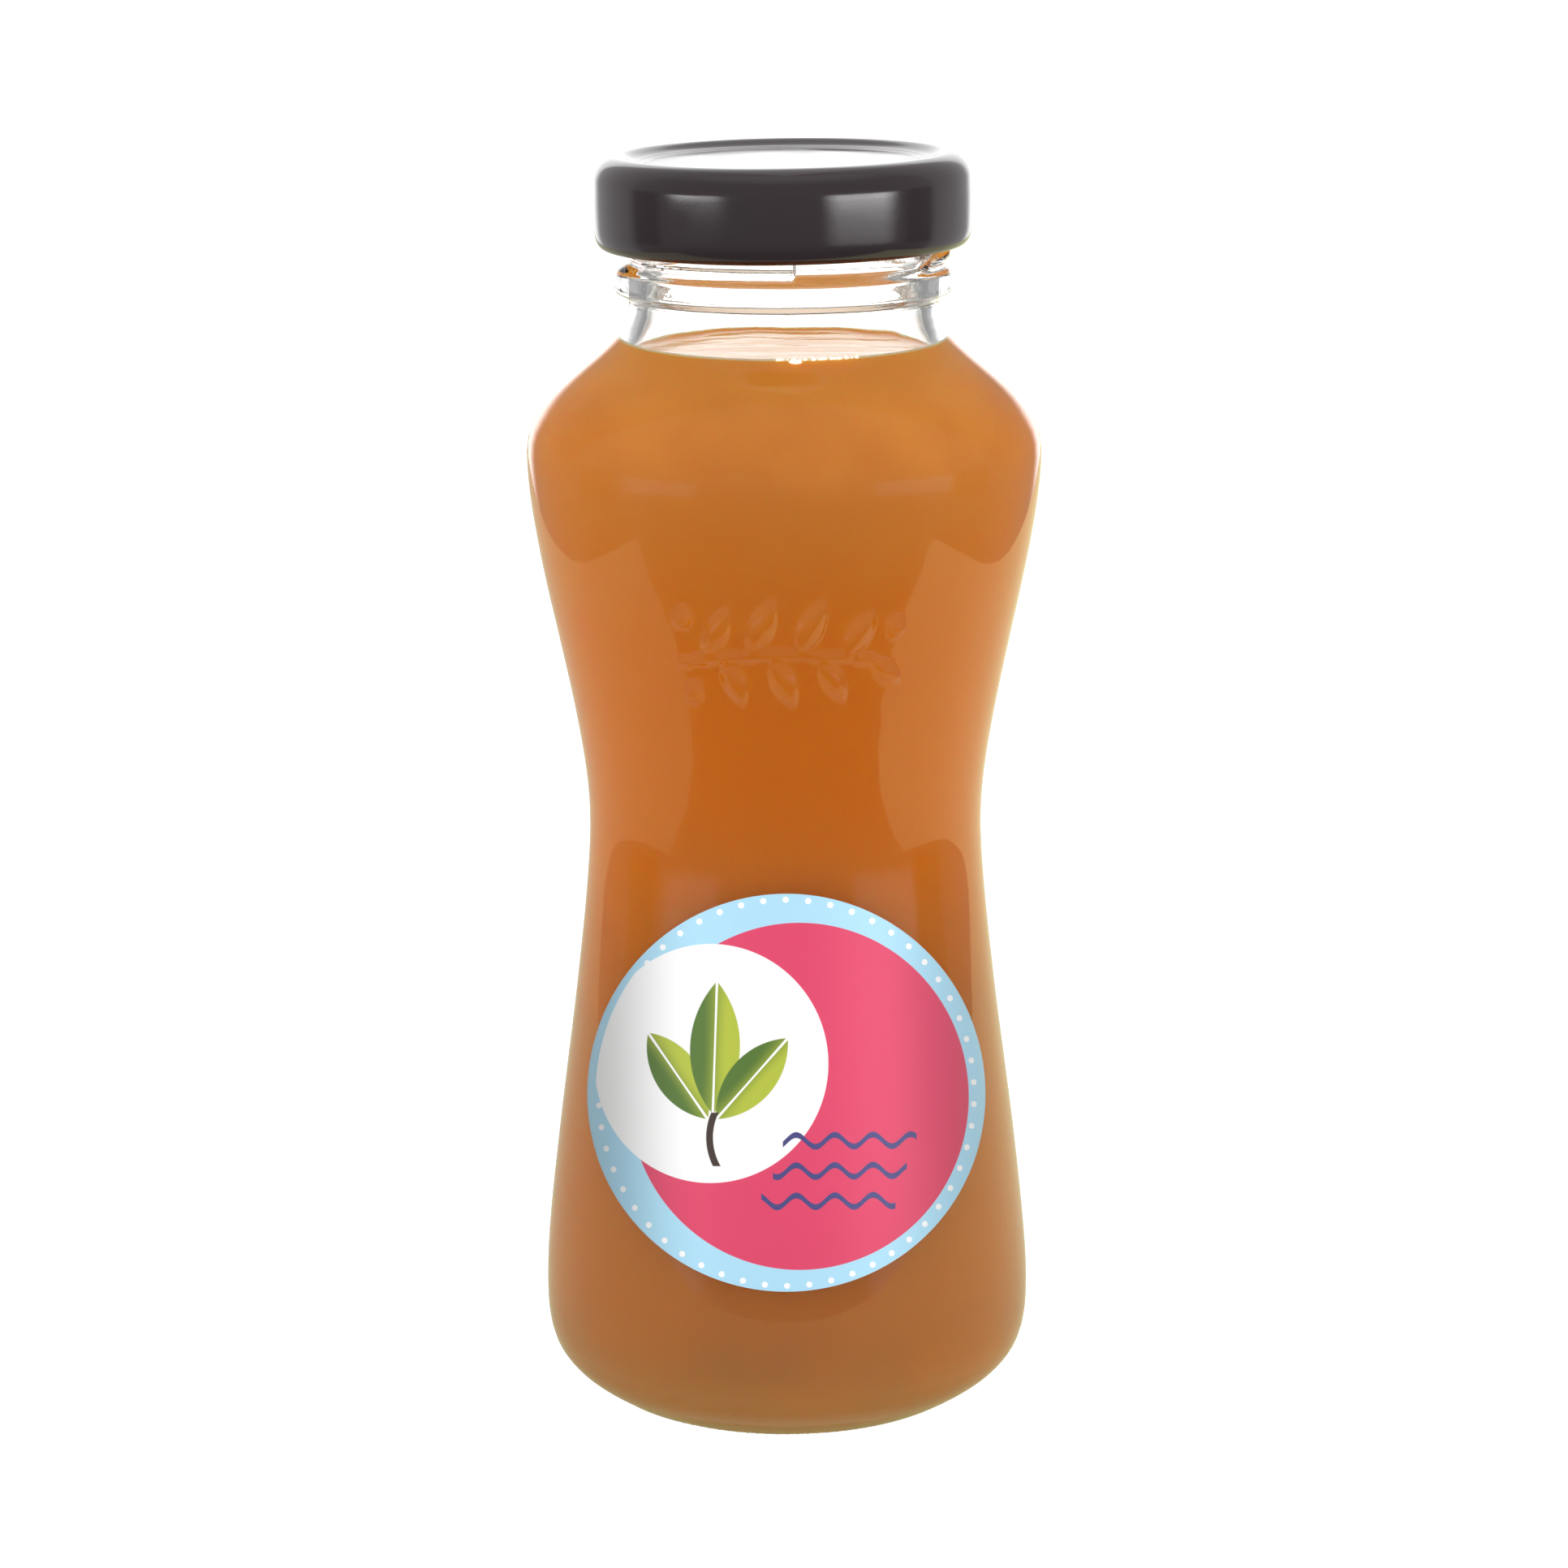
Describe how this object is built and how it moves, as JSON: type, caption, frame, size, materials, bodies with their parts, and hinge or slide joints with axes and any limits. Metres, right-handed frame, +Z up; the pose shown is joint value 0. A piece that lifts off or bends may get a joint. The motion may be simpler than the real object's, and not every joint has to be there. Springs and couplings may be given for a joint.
{
  "type": "juice bottle",
  "caption": "Shut clear glass bottle of cloudy amber fruit juice with a narrow waist, a black twist-off steel lid and a round paper label.",
  "frame": {"origin": "centre of the ring that the bottle stands on", "axes": "+Z up along the bottle's axis, the label faces -Y, +X to the right of someone who looks at the label"},
  "size_m": [0.0624, 0.0624, 0.1542],
  "materials": {
    "clear_glass": "clear, fire-polished glass with a slightly wavy surface",
    "cloudy_juice": null,
    "black_enamel": "glossy black enamel on pressed tinplate",
    "label_paper": "coated paper printed in pink, white, light blue, green and navy"
  },
  "bodies": {
    "root": {"glass_bottle": "clear_glass", "juice": "cloudy_juice", "lid": "black_enamel", "label": "label_paper"}
  },
  "joints": []
}
